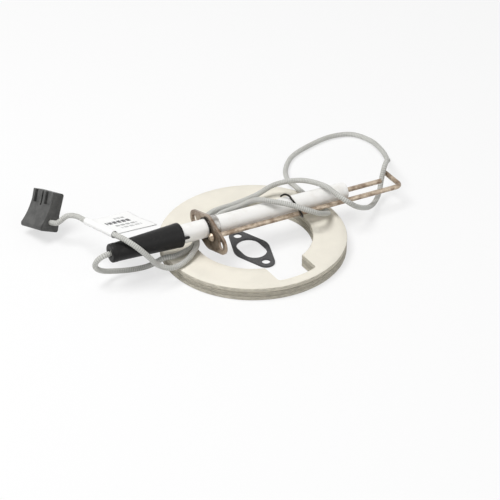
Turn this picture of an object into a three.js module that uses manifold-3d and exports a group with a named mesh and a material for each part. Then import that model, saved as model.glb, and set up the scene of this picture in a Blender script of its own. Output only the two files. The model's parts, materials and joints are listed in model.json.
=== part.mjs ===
// Ignition electrode kit of a gas burner: a ceramic-insulated spark electrode with its
// mounting flange, ground rod, rubber boot, braided lead and plug, lying on the fibre
// burner gasket it is supplied with, beside the small gasket of its own flange.
// Millimetres, +Z up. The kit is laid out round the centre of the fibre ring, on the
// ground, and the whole group is moved at the end so that its origin is the middle of
// the footprint of everything except the lead and what hangs on the lead.
import * as THREE from 'three';
import { mergeVertices } from 'three/addons/utils/BufferGeometryUtils.js';
import Module from 'manifold-3d';

const wasm = await Module();
wasm.setup();

// ---------------------------------------------------------------- driving dimensions
// Fibre ring: three bonded plies
const ringOuterDiameter = 110;
const ringInnerDiameter = 70;
const ringThickness = 8;
const notchWidth = 25;
const notchReach = 13.5;              // how far the notch cuts outward from the bore
const notchBearing = -58;             // degrees round the ring from +X
const notchCorner = 3;
const plyShares = [0.3, 0.38, 0.32];  // lower, middle and upper ply

// Ceramic insulator, measured along its own axis from the front face of the flange
const ceramicDiameter = 11;
const ceramicFront = 92;
const ceramicRear = 32;               // behind the flange face, inside the boot
const ceramicBevel = 0.6;
const cementDepth = 2.5;              // counterbore at each end of the ceramic
const cementWidth = 1;                // radial

// Rods
const rodDiameter = 3;
const sparkTipReach = 26.5;           // spark rod beyond the ceramic
const sparkGap = 8;                   // spark tip to the ground rod's cross-piece
const groundClearance = 1;            // between the ground rod and the ceramic
const groundDrop = 12;                // degrees the ground rod sits below the axis
const groundBend = 3.5;               // centre-line radius of its elbow
const crossLength = 18;               // cross-piece, from the elbow's corner

// Mounting flange
const boltSpacing = 32;
const boltHoleDiameter = 5.2;
const flangeTipRadius = 5.4;
const flangeHalfWidth = 10.5;
const flangeThickness = 1.5;
const flangeSag = 2;                  // bolt line below the ceramic's centre line
const flangeShift = 1.6;              // bolt line's middle, toward the ground rod
const collarLength = 5;
const collarWall = 0.5;
const packingWidth = 0.75;            // radial
const packingDepth = 0.8;
const weldSpread = 1.1;               // weld's foot, beyond the ground rod's surface
const weldLength = 1.5;

// Boot
const bootMouth = 18.5;               // mouth, behind the flange face
const bootLength = 43.5;
const bootMouthDiameter = 14.4;
const bootRearDiameter = 11;
const bootExitDiameter = 4.4;
const bootTabDiameter = 1.7;
const pinWall = 0.8;                  // terminal pin, round the spark rod
const pinReach = 9;                   // terminal pin, behind the ceramic
const terminalWall = 0.5;
const chamberRoom = 1.2;              // boot's chamber, radially round the pin

// Lead
const leadDiameter = 3.2;

// Plug on the lead
const plugWidth = 19.4;
const plugDepth = 13;
const plugHeight = 23;
const plugNeckDepth = 8;
const towerHeight = 9;
const towerGap = 1.4;                 // between the two towers
const recessInset = 2;                // recess in each tower's front, from its left side
const recessWidth = 5.8;
const recessHeight = 7.6;
const recessDepth = 0.7;
const keySlotWidth = 1.8;
const keySlotDepth = 1.9;
const leadEntryDepth = 7;             // from the plug's front face
const leadEntryHeight = 5.5;
const bladeThickness = 0.6;
const bladeWidth = 5;

// Flange gasket
const gasketThickness = 1.2;
const gasketHalfWidth = 10.8;
const gasketTipRadius = 5.2;
const gasketSlotWidth = 14.4;
const gasketWeb = 2.6;                // between its slot and each bolt hole
const gasketHoleShrink = 0.6;         // its hole spacing, less than the flange's
const gasketBearing = -58;              // degrees round from +X
const gasketMiddle = new THREE.Vector2(-0.8, -4.4);

// Clearances
const touch = 0.3;                    // between pieces that rest on each other
const slipFit = 0.25;                 // radial, piece in a bore
const tightFit = 0.15;                // radial, piece crimped, sprung or welded on
const cementFit = 0.1;                // radial, cement to rod and ceramic

// Where the pieces lie
const axisBearing = 29.5;             // electrode's heading on the ground, from +X
const axisPitch = -2.3;               // spark end lower
const flangePlace = new THREE.Vector3(-25.5, -11.6, 20.5);
const plugCorner = new THREE.Vector3(-124.2, -0.35, 10.55);
const plugAcross = new THREE.Vector3(0.684, -0.686, 0.249);
const plugUp = new THREE.Vector3(0.175, 0.486, 0.856);

const radians = THREE.MathUtils.degToRad;

// ---------------------------------------------------------------- materials
const paint = (color, roughness, metalness = 0) =>
  new THREE.MeshStandardMaterial({ color, roughness, metalness });
const creamFibre = paint(0xf0ebdc, 0.95);
const greyFibre = paint(0xb4afa0, 0.95);
const ceramic = paint(0xf6f5f1, 0.25);
const cement = paint(0xd8d4c8, 0.9);
const heatedSteel = paint(0x6e6154, 0.45, 0.9);
const flangeSteel = paint(0x94887a, 0.35, 0.9);
const springSteel = paint(0x2c2a28, 0.4, 0.9);
const brass = paint(0xb89a5a, 0.35, 0.9);
const rubber = paint(0x24211f, 0.55);
const braid = paint(0xbdbdb5, 0.85);
const copper = paint(0xb0693f, 0.4, 0.9);
const paper = paint(0xf4f4f2, 0.7);
const plastic = paint(0x3a3a3c, 0.5);
const gasketBoard = paint(0x4c4c4e, 0.9);

// ---------------------------------------------------------------- tools of the trade
const named = (name, geometry, material) => {
  const mesh = new THREE.Mesh(geometry, material);
  mesh.name = name;
  return mesh;
};

// A closed mesh as a solid that can be joined and cut
const solid = (geometry) => {
  const bare = geometry.clone();
  bare.deleteAttribute('normal');
  bare.deleteAttribute('uv');
  const merged = mergeVertices(bare, 1e-4);
  const mesh = new wasm.Mesh({
    numProp: 3,
    vertProperties: new Float32Array(merged.attributes.position.array),
    triVerts: new Uint32Array(merged.index.array),
  });
  return new wasm.Manifold(mesh);
};

const geometryOf = (body) => {
  const mesh = body.getMesh();
  const geometry = new THREE.BufferGeometry();
  geometry.setAttribute('position', new THREE.BufferAttribute(mesh.vertProperties, 3));
  geometry.setIndex(new THREE.BufferAttribute(mesh.triVerts, 1));
  geometry.computeVertexNormals();
  return geometry;
};

const cut = (geometry, ...tools) =>
  geometryOf(tools.reduce((body, tool) => body.subtract(solid(tool)), solid(geometry)));
const join = (...geometries) =>
  geometryOf(geometries.slice(1).reduce((body, next) => body.add(solid(next)), solid(geometries[0])));

// A round bar along +X between two places on it
const barAlongX = (radius, from, to, sides = 40) =>
  new THREE.CylinderGeometry(radius, radius, to - from, sides)
    .rotateZ(-Math.PI / 2)
    .translate((from + to) / 2, 0, 0);

// A body of revolution about X; the profile is a list of [along, radius]
const turnedAboutX = (profile, sides = 48) =>
  new THREE.LatheGeometry(profile.map(([along, radius]) => new THREE.Vector2(radius, along)), sides)
    .rotateZ(-Math.PI / 2);

// A tube between two radii about X, as a closed profile
const sleeveAboutX = (inner, outer, from, to, sides = 48) =>
  turnedAboutX([[from, inner], [from, outer], [to, outer], [to, inner], [from, inner]], sides);

const disc = (radius, sides) => {
  const points = [];
  for (let i = 0; i < sides; i++) {
    const turn = (2 * Math.PI * i) / sides;
    points.push(new THREE.Vector2(radius * Math.cos(turn), radius * Math.sin(turn)));
  }
  return new THREE.Shape(points);
};

const tubeAlong = (curve, radius, sides, steps) =>
  new THREE.ExtrudeGeometry(disc(radius, sides), { extrudePath: curve, steps, curveSegments: 1 });

// A plate standing on z = 0, from its outline
const plate = (shape, thickness, curveSegments = 16) =>
  new THREE.ExtrudeGeometry(shape, { depth: thickness, bevelEnabled: false, curveSegments });

// Two-bolt outline: round tips joined by tangents to a wider round middle, long side on X
const diamond = (spacing, tipRadius, halfWidth) => {
  const lean = Math.acos((halfWidth - tipRadius) / (spacing / 2));
  const shape = new THREE.Shape();
  shape.absarc(spacing / 2, 0, tipRadius, -lean, lean, false);
  shape.absarc(0, 0, halfWidth, lean, Math.PI - lean, false);
  shape.absarc(-spacing / 2, 0, tipRadius, Math.PI - lean, Math.PI + lean, false);
  shape.absarc(0, 0, halfWidth, Math.PI + lean, 2 * Math.PI - lean, false);
  shape.closePath();
  return shape;
};

const roundHole = (x, y, radius) => {
  const hole = new THREE.Path();
  hole.absarc(x, y, radius, 0, 2 * Math.PI, true);
  return hole;
};

// ---------------------------------------------------------------- fibre ring
// Bore with a parallel-sided notch cut outward from it, the notch centred on +X
const ringBore = () => {
  const bore = ringInnerDiameter / 2;
  const half = notchWidth / 2;
  const wall = bore + notchReach;
  const mouthTurn = Math.asin(half / bore);
  const wallTurn = Math.asin((half - notchCorner) / wall);
  const sideEnd = wall * Math.cos(wallTurn) - notchCorner;
  const path = new THREE.Path();
  path.absarc(0, 0, bore, mouthTurn, 2 * Math.PI - mouthTurn, false);
  path.lineTo(sideEnd, -half);
  path.quadraticCurveTo(sideEnd + notchCorner, -half, wall * Math.cos(wallTurn), -wall * Math.sin(wallTurn));
  path.absarc(0, 0, wall, -wallTurn, wallTurn, false);
  path.quadraticCurveTo(sideEnd + notchCorner, half, sideEnd, half);
  path.closePath();
  return path;
};

const ring = new THREE.Group();
{
  const names = ['ring_lower_ply', 'ring_middle_ply', 'ring_upper_ply'];
  const colours = [greyFibre, greyFibre, creamFibre];
  let floor = 0;
  names.forEach((name, level) => {
    const thickness = plyShares[level] * ringThickness;
    const outline = new THREE.Shape();
    outline.absarc(0, 0, ringOuterDiameter / 2, 0, 2 * Math.PI, false);
    outline.holes.push(ringBore());
    const ply = named(name, plate(outline, thickness, 40), colours[level]);
    ply.rotation.z = radians(notchBearing);
    ply.position.z = floor;
    floor += thickness;
    ring.add(ply);
  });
}

// ---------------------------------------------------------------- electrode, along its own +X
const ceramicRadius = ceramicDiameter / 2;
const rodRadius = rodDiameter / 2;
const sparkTip = ceramicFront + sparkTipReach;
const groundOffset = ceramicRadius + rodRadius + groundClearance;
const groundY = -groundOffset * Math.cos(radians(groundDrop));
const groundZ = -groundOffset * Math.sin(radians(groundDrop));

const insulatorGeometry = () => {
  const bore = rodRadius + slipFit;
  const seat = bore + cementWidth;    // counterbore for the cement at each end
  return turnedAboutX([
    [-ceramicRear, seat],
    [-ceramicRear, ceramicRadius - ceramicBevel],
    [-ceramicRear + ceramicBevel, ceramicRadius],
    [ceramicFront - ceramicBevel, ceramicRadius],
    [ceramicFront, ceramicRadius - ceramicBevel],
    [ceramicFront, seat],
    [ceramicFront - cementDepth, seat],
    [ceramicFront - cementDepth, bore],
    [-ceramicRear + cementDepth, bore],
    [-ceramicRear + cementDepth, seat],
    [-ceramicRear, seat],
  ]);
};

// Ring of cement in the ceramic's counterbore, flush with its end
const cementGeometry = (end, inward) => {
  const inner = rodRadius + cementFit;
  const outer = rodRadius + slipFit + cementWidth - cementFit;
  const faces = [end, end + inward * (cementDepth - cementFit)].sort((a, b) => a - b);
  return sleeveAboutX(inner, outer, faces[0], faces[1], 32);
};

const sparkRodRear = -ceramicRear - 2;
const sparkRodGeometry = () => {
  const bevel = 0.5;
  return turnedAboutX([
    [sparkRodRear, 0],
    [sparkRodRear, rodRadius],
    [sparkTip - bevel, rodRadius],
    [sparkTip, rodRadius - bevel],
    [sparkTip, 0],
  ], 24);
};

const collarInner = ceramicRadius + slipFit;
const collarOuter = collarInner + collarWall;

// Plate across the axis. The collar and the ground rod pass through it in one keyhole,
// and the bolt line's middle lies flangeSag below the ceramic and flangeShift toward the rod
const flangeGeometry = () => {
  const shape = diamond(boltSpacing, flangeTipRadius, flangeHalfWidth);
  for (const side of [-1, 1]) {
    shape.holes.push(roundHole((side * boltSpacing) / 2, 0, boltHoleDiameter / 2));
  }
  const blank = plate(shape, flangeThickness, 14)
    .rotateX(Math.PI / 2)
    .rotateZ(Math.PI / 2)
    .translate(-flangeThickness, -flangeShift, -flangeSag);
  const over = 1;
  return cut(blank,
    barAlongX(collarOuter + tightFit, -flangeThickness - over, over, 48),
    barAlongX(rodRadius + tightFit, -flangeThickness - over, over, 24)
      .translate(0, groundY, groundZ));
};

const collarGeometry = () =>
  cut(sleeveAboutX(collarInner, collarOuter, -flangeThickness, collarLength),
    barAlongX(rodRadius + tightFit, -flangeThickness - 1, collarLength + 1, 24)
      .translate(0, groundY, groundZ));

// Dark packing ring pressed against the back of the flange round the ceramic
const packingInner = ceramicRadius + tightFit;
const packingOuter = packingInner + packingWidth;
const packingFront = -flangeThickness - touch;
const packingGeometry = () =>
  sleeveAboutX(packingInner, packingOuter, packingFront - packingDepth, packingFront);

// A path whose sections stand at given places, so that straight runs take one step
class Stations extends THREE.Curve {
  constructor(stations) {
    super();
    this.stations = stations;
  }

  at(share) {
    return this.stations[Math.round(share * (this.stations.length - 1))];
  }

  getPointAt(share, target = new THREE.Vector3()) {
    return target.copy(this.at(share).place);
  }

  getTangentAt(share, target = new THREE.Vector3()) {
    return target.copy(this.at(share).heading);
  }
}

// Straight rod, welded behind the flange, elbow, and the cross-piece that passes in front of the spark tip
const weldFace = -flangeThickness - touch;
const groundRear = weldFace - weldLength - 0.5;
const groundRodGeometry = () => {
  const corner = sparkTip + sparkGap + rodRadius;
  const elbowSteps = 8;
  const stations = [{ place: new THREE.Vector3(groundRear, 0, 0), heading: new THREE.Vector3(1, 0, 0) }];
  for (let i = 0; i <= elbowSteps; i++) {
    const turn = (i / elbowSteps) * (Math.PI / 2);
    stations.push({
      place: new THREE.Vector3(
        corner - groundBend * (1 - Math.sin(turn)), groundBend * (1 - Math.cos(turn)), 0),
      heading: new THREE.Vector3(Math.cos(turn), Math.sin(turn), 0),
    });
  }
  stations.push({
    place: new THREE.Vector3(corner, crossLength, 0), heading: new THREE.Vector3(0, 1, 0),
  });
  return tubeAlong(new Stations(stations), rodRadius, 16, stations.length - 1)
    .translate(0, groundY, groundZ);
};

const weldGeometry = () => {
  const inner = rodRadius + tightFit;
  const foot = rodRadius + weldSpread;
  const toe = 0.3;
  const bead = turnedAboutX([
    [weldFace, inner], [weldFace - weldLength, inner], [weldFace - weldLength, inner + toe],
    [weldFace - toe, foot], [weldFace, foot - toe], [weldFace, inner],
  ], 24).translate(0, groundY, groundZ);
  return cut(bead, barAlongX(packingOuter + tightFit, weldFace - 2 * weldLength, 0));
};

// Sprung wire that ties the ground rod to the ceramic: a hook over the top, down the near
// side, round the outside of the ground rod and back under the ceramic
const clipWire = 1.2;
const clipPlace = 55;                 // along the ceramic
const clipGeometry = () => {
  const seat = ceramicRadius + clipWire / 2 + touch;
  const hold = rodRadius + clipWire / 2 + touch;
  const round = (centreY, centreZ, radius, degrees, along) => new THREE.Vector3(
    clipPlace + along,
    centreY - radius * Math.cos(radians(degrees)),
    centreZ + radius * Math.sin(radians(degrees)),
  );
  const path = new THREE.CatmullRomCurve3([
    round(0, 0, seat + 0.2, 112, -6),
    round(0, 0, seat + 1.7, 96, -4.4),
    round(0, 0, seat + 1.4, 80, -2.6),
    round(0, 0, seat + 0.1, 60, -1.4),
    round(0, 0, seat, 36, -0.4),
    round(0, 0, seat + 0.4, 16, 0.4),
    round(groundY, groundZ, hold, 30, 1.2),
    round(groundY, groundZ, hold, -15, 2),
    round(groundY, groundZ, hold, -60, 2.6),
    round(groundY, groundZ, hold + 0.1, -105, 3),
    round(0, 0, seat + 0.2, -52, 3.2),
    round(0, 0, seat, -80, 3.2),
    round(0, 0, seat, -108, 3),
  ], false, 'centripetal');
  return tubeAlong(path, clipWire / 2, 8, 48);
};

// ---------------------------------------------------------------- boot and what it covers
const bootRear = bootMouth + bootLength;
const leadRadius = leadDiameter / 2;
const pinRadius = rodRadius + pinWall;
const pinRear = ceramicRear + pinReach;
const chamberRadius = pinRadius + chamberRoom;

const terminalPinGeometry = () => {
  const bore = rodRadius + tightFit;
  const front = -ceramicRear - touch;
  const floor = sparkRodRear - touch;
  return turnedAboutX([
    [-pinRear, 0], [-pinRear, pinRadius - 0.5], [-pinRear + 0.5, pinRadius],
    [front, pinRadius], [front, bore], [floor, bore], [floor, 0],
  ], 24);
};

// Split spring socket on the pin, with a barrel crimped on the lead behind it
const socketFront = pinRear - 6;
const barrelFront = pinRear + 1.6;
const barrelRear = barrelFront + 6;
const snapTerminalGeometry = () => {
  const grip = pinRadius + tightFit;
  const socket = turnedAboutX([
    [-barrelRear, leadRadius + tightFit], [-barrelRear, leadRadius + terminalWall],
    [-barrelFront, leadRadius + terminalWall], [-barrelFront + 1, grip + terminalWall],
    [-socketFront, grip + terminalWall], [-socketFront, grip], [-barrelFront + 1, grip],
    [-barrelFront, leadRadius + tightFit], [-barrelRear, leadRadius + tightFit],
  ], 32);
  const slitTop = new THREE.BoxGeometry(socketFront, 0.8, 10)
    .translate(-pinRear + socketFront / 2 - 0.5, 0, 5);
  return cut(socket, slitTop);
};

const leadTailGeometry = () => barAlongX(leadRadius, -bootRear + 0.6, -barrelFront - 1, 24);

const bootGeometry = () => {
  const mouth = bootMouthDiameter / 2;
  const rear = bootRearDiameter / 2;
  const bore = ceramicRadius + 0.2;
  const edge = 0.8;
  const chamberRear = barrelRear + 1.5;
  const shell = turnedAboutX([
    [-bootRear, bootExitDiameter / 2],
    [-bootRear, rear - edge],
    [-bootRear + edge, rear],
    [-bootMouth - 14, mouth - 0.6],
    [-bootMouth - edge, mouth],
    [-bootMouth, mouth - edge],
    [-bootMouth, bore],
    [-ceramicRear - touch, bore],
    [-ceramicRear - touch, chamberRadius],
    [-chamberRear, chamberRadius],
    [-chamberRear - 1.2, bootExitDiameter / 2],
    [-bootRear, bootExitDiameter / 2],
  ]);
  const tabRadius = bootTabDiameter / 2;
  const tab = barAlongX(tabRadius, -bootMouth - 1.5, -bootMouth + 3, 16)
    .translate(0, -(ceramicRadius + touch + tabRadius), 0)
    .rotateX(radians(-12));
  return join(shell, tab);
};

const electrode = new THREE.Group();
electrode.add(
  named('ceramic_insulator', insulatorGeometry(), ceramic),
  named('front_cement', cementGeometry(ceramicFront, -1), cement),
  named('rear_cement', cementGeometry(-ceramicRear, 1), cement),
  named('spark_rod', sparkRodGeometry(), heatedSteel),
  named('mounting_flange', flangeGeometry(), flangeSteel),
  named('flange_collar', collarGeometry(), flangeSteel),
  named('packing_ring', packingGeometry(), springSteel),
  named('ground_rod', groundRodGeometry(), heatedSteel),
  named('ground_rod_weld', weldGeometry(), heatedSteel),
  named('rod_clip', clipGeometry(), springSteel),
  named('terminal_pin', terminalPinGeometry(), brass),
  named('snap_terminal', snapTerminalGeometry(), brass),
  named('lead_tail', leadTailGeometry(), braid),
  named('rubber_boot', bootGeometry(), rubber),
);
electrode.rotation.set(0, radians(-axisPitch), radians(axisBearing), 'ZYX');
electrode.position.copy(flangePlace);

// ---------------------------------------------------------------- lead
// From the boot, under the ceramic behind the flange, over the ceramic at the clip, under
// it again on the ring, round a loop on the ground, up between the spark rod and the
// cross-piece, over the ceramic's front end, under the ceramic and over the boot to the plug
const leadRoute = [
  [-79.7, -41.7, 22.6], [-83.2, -43.6, 22.1], [-86.5, -44.3, 19.6], [-88, -43.4, 15.8],
  [-87.3, -41.2, 12], [-84.6, -38, 8.4], [-80.4, -33.8, 5.3], [-69.5, -27.6, 2],
  [-60, -26.6, 3.8], [-50, -27.9, 10.4], [-44.3, -26, 10.3], [-34.6, -15.4, 9.9],
  [-33.2, -9.8, 10], [-32.3, -3, 8.9], [-30.5, 3.5, 7.8], [-27.2, 10, 8.6], [-18.4, 18.2, 11],
  [-7.7, 15.4, 17.6], [0.9, 10.3, 25], [4.9, 7.2, 27.1], [9.9, 5.4, 27.4], [21.5, 3.6, 26],
  [33.1, 2.4, 22.6], [38.2, 5, 19.3], [42.4, 11.6, 14.8], [44.6, 18.4, 11], [42.8, 23.4, 10],
  [33.4, 37.4, 9.9], [25.6, 50, 9.9], [21.3, 67, 4.6], [20.6, 83.5, 2], [24.9, 98.7, 1.85],
  [36.9, 113.4, 1.85], [51.6, 124.9, 1.85], [64.6, 127.4, 1.85], [75.6, 119.4, 2.2],
  [82, 101, 5.6], [83.9, 77.5, 12.2], [83.2, 69.6, 16.6], [82, 63.8, 19.3], [80.4, 58.9, 18.7],
  [79.2, 56, 15], [78.3, 54.2, 10.2], [77.4, 51.2, 6.2], [75.8, 46, 4.4], [70.2, 31.4, 7],
  [61, 17.2, 16.2], [55.7, 14.3, 21.2], [49.3, 17.4, 24.4], [42.6, 25.3, 25.2],
  [28.2, 37.8, 21.6], [13.3, 42.1, 16], [1.2, 36.4, 11.6], [-11.6, 29.8, 9.7],
  [-24.2, 21.3, 9.7], [-33.6, 5.4, 9.8], [-35.4, -1.6, 10.6], [-34.6, -7.8, 13],
  [-32.6, -13.4, 13.7], [-32.2, -18.8, 12.6], [-37.4, -29.8, 10.3], [-45.6, -38.3, 10.6],
  [-53.2, -41.8, 15.2], [-57.4, -43.4, 21], [-63.4, -43.4, 27.3], [-70.6, -40.4, 31],
  [-76, -35.6, 30.7], [-86, -22.5, 27.1], [-96, -9.4, 23.5], [-102.8, -0.6, 21],
  [-107.9, 2.2, 19.2], [-114, 2.3, 14.3], [-118, 5.9, 12.2],
];
const leadCurve = new THREE.CatmullRomCurve3(
  leadRoute.map((place) => new THREE.Vector3(...place)), false, 'centripetal');
const lead = named('ignition_lead', tubeAlong(leadCurve, leadRadius, 8, 80), braid);

// ---------------------------------------------------------------- plug on the lead
// Local +X runs across the two towers, +Y from front to back and +Z up to their mouths
const plugWall = 1.2;
const towerSpan = plugDepth - plugNeckDepth;      // front face of the neck
const bladeSlot = bladeThickness + 2 * slipFit;
const towerWidth = (plugWidth - towerGap) / 2;
const towerLeft = [0, plugWidth - towerWidth];
const towerBladeX = towerLeft.map((left) => left + towerWidth / 2);
const bladeY = towerSpan + plugWall + 0.6;
const bladeFloor = 3.2;
const terminalTop = plugHeight - 1.2;

const plugProfile = () => {
  const round = 1.6;
  const shape = new THREE.Shape();
  shape.moveTo(round, 0);
  shape.lineTo(plugDepth - round, 0);
  shape.quadraticCurveTo(plugDepth, 0, plugDepth, round);
  shape.quadraticCurveTo(plugDepth, 6, plugDepth - 0.8, 10);
  shape.lineTo(plugDepth, plugHeight - round);
  shape.quadraticCurveTo(plugDepth, plugHeight, plugDepth - round, plugHeight);
  shape.lineTo(towerSpan, plugHeight);
  shape.lineTo(towerSpan, plugHeight - 6);
  shape.quadraticCurveTo(towerSpan - 1.2, 8.5, 0, 2.4);
  shape.quadraticCurveTo(0, 0, round, 0);
  return shape;
};

// The extruded outline stands on local XY; these turns lay it in the plug's YZ plane
const acrossPlug = (geometry) => geometry.rotateX(Math.PI / 2).rotateZ(Math.PI / 2);

const boxBetween = (x0, x1, y0, y1, z0, z1) =>
  new THREE.BoxGeometry(x1 - x0, y1 - y0, z1 - z0)
    .translate((x0 + x1) / 2, (y0 + y1) / 2, (z0 + z1) / 2);

const housingGeometry = () => {
  const over = 1;
  const body = acrossPlug(plate(plugProfile(), plugWidth, 8));
  const gap = boxBetween(towerWidth, plugWidth - towerWidth,
    -over, plugDepth + over, plugHeight - towerHeight, plugHeight + over);
  const slots = towerBladeX.map((x) => boxBetween(x - bladeSlot / 2, x + bladeSlot / 2,
    bladeY - slipFit, bladeY + bladeWidth + slipFit, bladeFloor, plugHeight + over));
  const recesses = towerLeft.map((left) => boxBetween(left + recessInset,
    left + recessInset + recessWidth, towerSpan - 2 * over, towerSpan + recessDepth,
    plugHeight - recessHeight, plugHeight + over));
  const keySlots = towerLeft.map((left) => boxBetween(left + recessInset,
    left + recessInset + keySlotWidth, towerSpan - 2 * over, towerSpan + keySlotDepth,
    plugHeight - recessHeight, plugHeight + over));
  const tunnel = new THREE.CylinderGeometry(leadRadius + slipFit, leadRadius + slipFit, plugWidth, 24)
    .rotateZ(-Math.PI / 2)
    .translate(plugWidth / 2 + plugWall, leadEntryDepth, leadEntryHeight);
  const trough = boxBetween(towerBladeX[0] - bladeSlot / 2, towerBladeX[1] + bladeSlot / 2,
    bladeY - slipFit, bladeY + bladeWidth + slipFit, bladeFloor, leadEntryHeight + 2.6);
  return cut(body, gap, ...slots, ...recesses, ...keySlots, tunnel, trough);
};

// Flat receptacle in each tower, and the strip that links their feet
const receptacleGeometry = (x) => {
  const half = bladeThickness / 2;
  const foot = leadEntryHeight + 2.4;
  return boxBetween(x - half, x + half, bladeY, bladeY + bladeWidth, foot, terminalTop);
};
const linkGeometry = () => boxBetween(towerBladeX[0] - bladeThickness / 2,
  towerBladeX[1] + bladeThickness / 2, bladeY, bladeY + bladeWidth,
  leadEntryHeight + leadRadius + 0.2, leadEntryHeight + 2.4 - 0.05);
const plugTailGeometry = () => barAlongX(leadRadius, towerBladeX[0], plugWidth + 0.05, 16)
  .translate(0, leadEntryDepth, leadEntryHeight);

const plug = new THREE.Group();
plug.add(
  named('plug_housing', housingGeometry(), plastic),
  named('receptacle_left', receptacleGeometry(towerBladeX[0]), brass),
  named('receptacle_right', receptacleGeometry(towerBladeX[1]), brass),
  named('receptacle_link', linkGeometry(), copper),
  named('plug_lead_tail', plugTailGeometry(), braid),
);
{
  const across = plugAcross.clone().normalize();
  const upward = plugUp.clone().addScaledVector(across, -plugUp.dot(across)).normalize();
  const inward = upward.clone().cross(across);
  const turn = new THREE.Matrix4().makeBasis(across, inward, upward);
  plug.quaternion.setFromRotationMatrix(turn);
  plug.position.copy(plugCorner).addScaledVector(across, -plugWidth);
}

// ---------------------------------------------------------------- label on the lead
// A folded paper flag: it wraps a straight stretch of the lead, and its two leaves are
// stuck together and stand out behind it
const labelStart = new THREE.Vector3(-95.2, -10.45, 23.79);
const labelEnd = new THREE.Vector3(-77.2, -34.03, 30.27);
const labelDepth = 28;
const labelPaper = 0.35;
const labelLoose = 0.4;               // wrap's radial slack on the lead
const labelHeading = new THREE.Vector3(0.79, 0.58, -0.15);

const labelGeometry = () => {
  const inner = leadRadius + labelLoose;
  const outer = inner + labelPaper;
  const mouth = Math.asin(labelPaper / outer);
  const shape = new THREE.Shape();
  shape.moveTo(labelDepth, labelPaper);
  shape.lineTo(outer * Math.cos(mouth), labelPaper);
  shape.absarc(0, 0, outer, mouth, 2 * Math.PI - mouth, false);
  shape.lineTo(labelDepth, -labelPaper);
  shape.closePath();
  shape.holes.push(roundHole(0, 0, inner));
  return plate(shape, labelStart.distanceTo(labelEnd), 10);
};
const label = named('lead_label', labelGeometry(), paper);
{
  const along = labelEnd.clone().sub(labelStart).normalize();
  const out = labelHeading.clone().addScaledVector(along, -labelHeading.dot(along)).normalize();
  const turn = new THREE.Matrix4().makeBasis(out, along.clone().cross(out), along);
  label.quaternion.setFromRotationMatrix(turn);
  label.position.copy(labelStart);
}

// ---------------------------------------------------------------- flange gasket
const gasketGeometry = () => {
  const spacing = boltSpacing - gasketHoleShrink;
  const shape = diamond(spacing, gasketTipRadius, gasketHalfWidth);
  const slotEnd = gasketSlotWidth / 2;
  const slotLength = spacing - boltHoleDiameter - 2 * gasketWeb;
  const slotReach = slotLength / 2 - slotEnd;
  const slot = new THREE.Path();
  slot.absarc(slotReach, 0, slotEnd, -Math.PI / 2, Math.PI / 2, false);
  slot.absarc(-slotReach, 0, slotEnd, Math.PI / 2, (3 * Math.PI) / 2, false);
  slot.closePath();
  shape.holes.push(slot);
  for (const side of [-1, 1]) {
    shape.holes.push(roundHole((side * spacing) / 2, 0, boltHoleDiameter / 2));
  }
  return plate(shape, gasketThickness, 14);
};
const gasket = named('flange_gasket', gasketGeometry(), gasketBoard);
gasket.rotation.z = radians(gasketBearing);
gasket.position.set(gasketMiddle.x, gasketMiddle.y, 0);

// ---------------------------------------------------------------- the kit
const kit = new THREE.Group();
kit.add(ring, electrode, gasket);
kit.updateMatrixWorld(true);
const footprint = new THREE.Box3().setFromObject(kit, true);
kit.add(lead, label, plug);
kit.position.set(
  -(footprint.min.x + footprint.max.x) / 2, -(footprint.min.y + footprint.max.y) / 2, 0);

const group = new THREE.Group();
group.add(kit);

export default group;
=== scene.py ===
import json
import math

import bmesh
import bpy
import numpy as np
from mathutils import Matrix, Vector, noise


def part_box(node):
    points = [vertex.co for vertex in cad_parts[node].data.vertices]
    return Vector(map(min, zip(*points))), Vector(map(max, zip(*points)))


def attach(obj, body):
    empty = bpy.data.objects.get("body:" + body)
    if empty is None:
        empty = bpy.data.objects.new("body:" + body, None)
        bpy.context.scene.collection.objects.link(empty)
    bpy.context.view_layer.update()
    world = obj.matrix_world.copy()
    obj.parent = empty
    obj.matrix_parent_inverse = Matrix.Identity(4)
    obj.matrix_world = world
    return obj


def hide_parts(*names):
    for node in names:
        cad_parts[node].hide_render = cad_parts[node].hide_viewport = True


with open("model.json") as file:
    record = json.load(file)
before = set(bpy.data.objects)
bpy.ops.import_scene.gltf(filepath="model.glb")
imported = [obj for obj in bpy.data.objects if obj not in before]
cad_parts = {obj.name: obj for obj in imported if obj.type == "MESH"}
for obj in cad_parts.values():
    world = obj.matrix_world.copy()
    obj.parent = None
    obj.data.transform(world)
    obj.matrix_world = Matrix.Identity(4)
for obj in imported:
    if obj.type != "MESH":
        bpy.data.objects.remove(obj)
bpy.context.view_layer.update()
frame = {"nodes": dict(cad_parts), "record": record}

MM = 0.001
TAU = 2 * math.pi


# ------------------------------------------------------------------ places taken from the frame
def corners(node):
    low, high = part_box(node)
    return np.array(low) / MM, np.array(high) / MM


def node_points(node):
    """A CAD node's vertices in millimetres."""
    mesh = frame["nodes"][node].data
    flat = np.empty(3 * len(mesh.vertices))
    mesh.vertices.foreach_get("co", flat)
    return flat.reshape(-1, 3) / MM


RING_LOW, RING_HIGH = corners("ring_lower_ply")
RING_CENTRE = np.array([(RING_LOW[0] + RING_HIGH[0]) / 2, (RING_LOW[1] + RING_HIGH[1]) / 2, 0.0])
RING_RADIUS = (RING_HIGH[0] - RING_LOW[0]) / 2

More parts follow.
